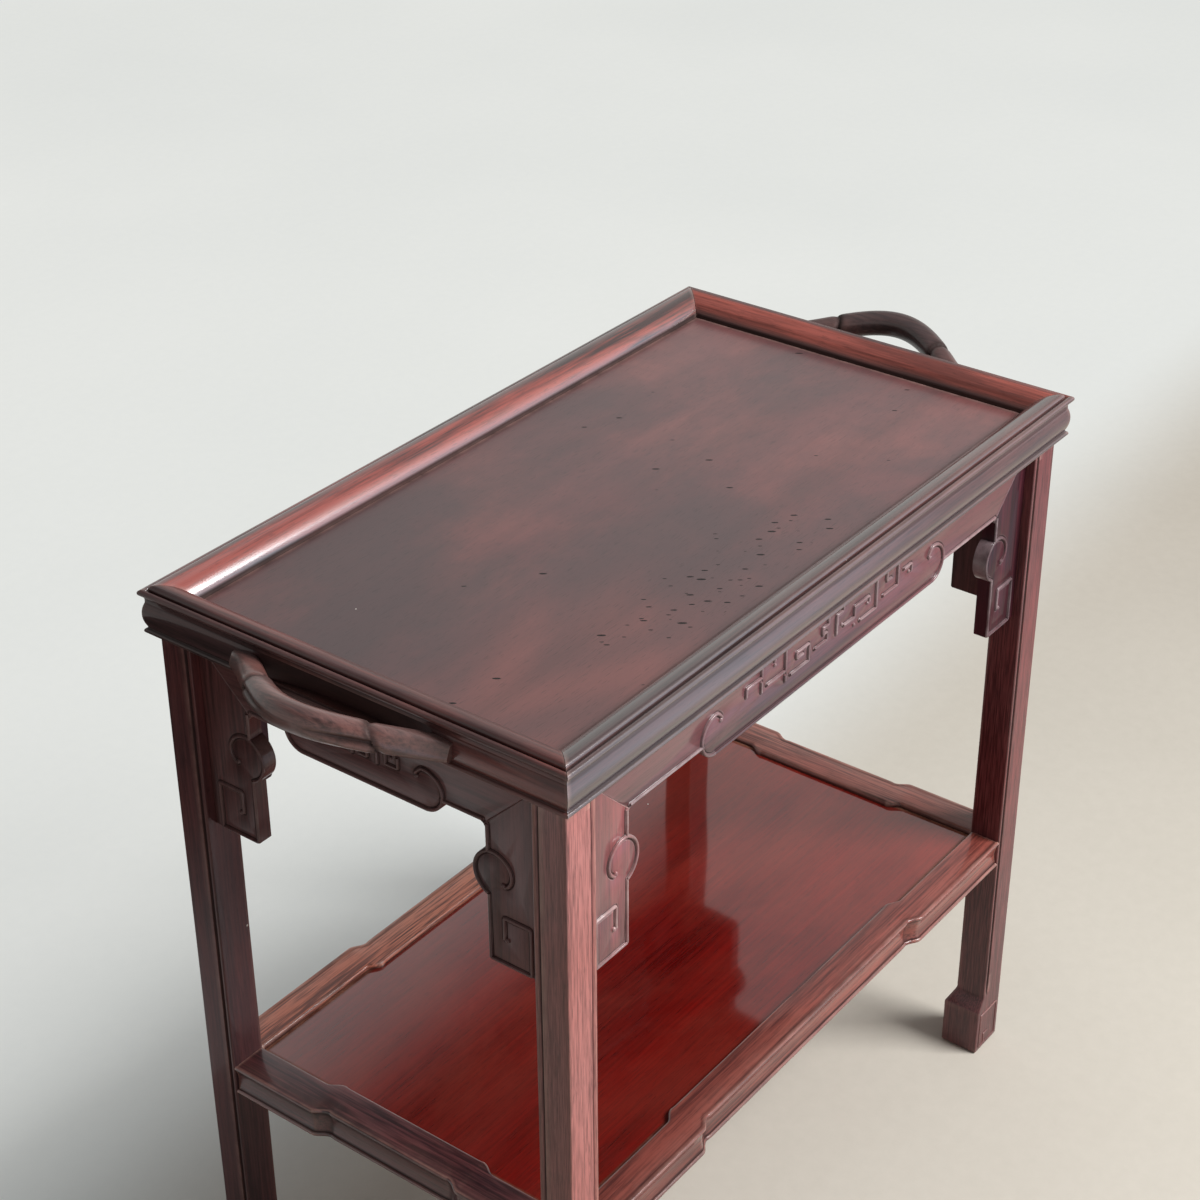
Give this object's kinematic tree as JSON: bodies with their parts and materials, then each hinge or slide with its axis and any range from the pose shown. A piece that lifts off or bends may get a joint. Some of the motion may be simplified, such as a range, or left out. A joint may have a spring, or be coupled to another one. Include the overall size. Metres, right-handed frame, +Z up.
{
  "type": "two-tier drinks table",
  "caption": "Carved hardwood drinks table with a tray top, a handle at each end, scrolled aprons and a lower shelf.",
  "frame": {"origin": "on the floor under the middle of the table", "axes": "X along the table from one handle to the other, Y across it with the front at -Y, Z up"},
  "size_m": [0.8182, 0.4, 0.7026],
  "materials": {
    "rim": "dark reddish rosewood, polished",
    "tray_panel": "worn polish, greyish purple brown with reddish patches",
    "handle": "dark rosewood, rubbed by use",
    "apron": "dark reddish rosewood, satin",
    "leg": "reddish rosewood with fine straight grain, satin",
    "shelf_rail": "reddish rosewood, polished",
    "shelf_panel": "deep red, high polish",
    "batten": "plain unpolished hardwood"
  },
  "bodies": {
    "root": {"top_rail_front": "rim", "top_rail_back": "rim", "top_rail_left": "rim", "top_rail_right": "rim", "top_panel": "tray_panel", "top_batten_left": "batten", "top_batten_right": "batten", "handle_left": "handle", "handle_right": "handle", "apron_front": "apron", "apron_back": "apron", "apron_left": "apron", "apron_right": "apron", "spandrel_front_left": "apron", "spandrel_front_right": "apron", "spandrel_back_left": "apron", "spandrel_back_right": "apron", "spandrel_left_front": "apron", "spandrel_left_back": "apron", "spandrel_right_front": "apron", "spandrel_right_back": "apron", "leg_front_left": "leg", "leg_front_right": "leg", "leg_back_left": "leg", "leg_back_right": "leg", "shelf_rail_front": "shelf_rail", "shelf_rail_back": "shelf_rail", "shelf_rail_left": "shelf_rail", "shelf_rail_right": "shelf_rail", "shelf_panel": "shelf_panel", "shelf_batten_left": "batten", "shelf_batten_right": "batten"}
  },
  "joints": []
}
